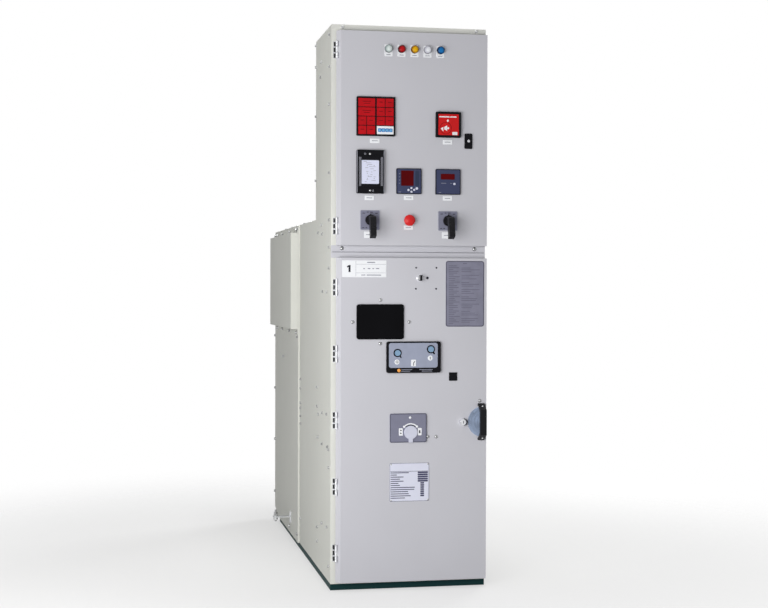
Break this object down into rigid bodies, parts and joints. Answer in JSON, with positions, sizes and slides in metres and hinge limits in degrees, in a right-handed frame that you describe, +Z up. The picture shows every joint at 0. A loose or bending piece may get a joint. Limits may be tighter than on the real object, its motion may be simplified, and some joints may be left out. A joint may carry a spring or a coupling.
{
  "type": "metal-clad switchgear cubicle",
  "caption": "Free-standing metal-clad switchgear cubicle with a hinged breaker door, an instrument box with its own hinged door, meters, switches and signal lamps.",
  "frame": {"origin": "centre of the four floor bolt holes, on the underside of the base frame", "axes": "+X to the right seen from the front, -Y out of the doors towards the operator, +Z up"},
  "size_m": [0.698, 1.892, 2.14],
  "materials": {
    "body_paint": "light grey powder coat with fine orange peel",
    "door_paint": "light grey powder coat, smooth satin",
    "base_paint": "near-black satin paint",
    "zinc": "zinc-plated sheet with a soft bluish shine",
    "black_plastic": "black moulded plastic, fine grain",
    "lens": "clear and coloured lamp lenses, polished",
    "red_plastic": "signal red moulded plastic",
    "navy_plastic": "dark blue-grey moulded plastic",
    "grey_plate": "mid grey moulded plastic, satin",
    "pale_plastic": "pale grey moulded plastic",
    "dark_glass": "dark polished safety glass",
    "chrome": "nickel-plated lock cylinder",
    "blue_plastic": "light blue moulded push buttons"
  },
  "bodies": {
    "housing": {"base_cross_rails": "base_paint", "base_side_rails": "base_paint", "floor_plate": "zinc", "toe_plate": "zinc", "left_side": "body_paint", "right_side": "body_paint", "left_rear_cover": "body_paint", "right_rear_cover": "body_paint", "rear_covers": "body_paint", "main_roof": "body_paint", "breaker_rear_wall": "zinc", "busbar_end_box": "body_paint", "earth_bar": "zinc", "front_posts": "body_paint", "threshold": "body_paint", "header_rail": "body_paint", "lv_sill": "body_paint", "lv_floor": "zinc", "lv_left_side": "body_paint", "lv_right_side": "body_paint", "lv_back": "body_paint", "lv_posts": "body_paint", "lv_header": "body_paint", "lv_roof": "body_paint", "fixed_hinges": "zinc"},
    "upper_door": {"lv_door": "door_paint", "lv_door_knuckles": "zinc", "lamp_bezels": "black_plastic", "lamp_lenses": "lens", "annunciator": "black_plastic", "annunciator_windows": "red_plastic", "hooter": "black_plastic", "relay": "black_plastic", "left_meter": "navy_plastic", "right_meter": "navy_plastic", "switch_plates": "grey_plate", "mushroom_collar": "grey_plate", "lv_lock": "black_plastic"},
    "lower_door": {"breaker_door": "door_paint", "breaker_door_knuckles": "zinc", "viewing_window": "dark_glass", "control_panel": "grey_plate", "racking_plate": "grey_plate", "racking_cap": "pale_plastic", "handle_rose": "grey_plate", "cylinder_lock": "chrome", "square_plug": "black_plastic", "door_handle": "black_plastic"},
    "left_switch_handle": {"left_switch": "black_plastic"},
    "right_switch_handle": {"right_switch": "black_plastic"},
    "mushroom_head": {"mushroom_button": "red_plastic"},
    "off_push": {"off_button": "blue_plastic"},
    "on_push": {"on_button": "blue_plastic"}
  },
  "joints": [
    {"name": "upper_door_hinge", "type": "hinge", "parent": "housing", "child": "upper_door", "pos_m": [-0.28101, -0.8365, 1.711], "axis": [0, 0, -1], "range_deg": [0, 110]},
    {"name": "lower_door_hinge", "type": "hinge", "parent": "housing", "child": "lower_door", "pos_m": [-0.28101, -0.8365, 0.645], "axis": [0, 0, -1], "range_deg": [0, 110]},
    {"name": "left_switch_turn", "type": "hinge", "parent": "upper_door", "child": "left_switch_handle", "pos_m": [-0.156, -0.852, 1.402], "axis": [0, 1, 0], "range_deg": [-45, 45], "stiffness_Nm_per_rad": 0.5},
    {"name": "right_switch_turn", "type": "hinge", "parent": "upper_door", "child": "right_switch_handle", "pos_m": [0.145, -0.852, 1.402], "axis": [0, 1, 0], "range_deg": [-45, 45]},
    {"name": "mushroom_push", "type": "slide", "parent": "upper_door", "child": "mushroom_head", "axis": [0, 1, 0], "range_m": [0, 0.006], "stiffness_N_per_m": 500},
    {"name": "off_push_slide", "type": "slide", "parent": "lower_door", "child": "off_push", "axis": [0, 1, 0], "range_m": [0, 0.004], "stiffness_N_per_m": 300},
    {"name": "on_push_slide", "type": "slide", "parent": "lower_door", "child": "on_push", "axis": [0, 1, 0], "range_m": [0, 0.004], "stiffness_N_per_m": 300}
  ]
}
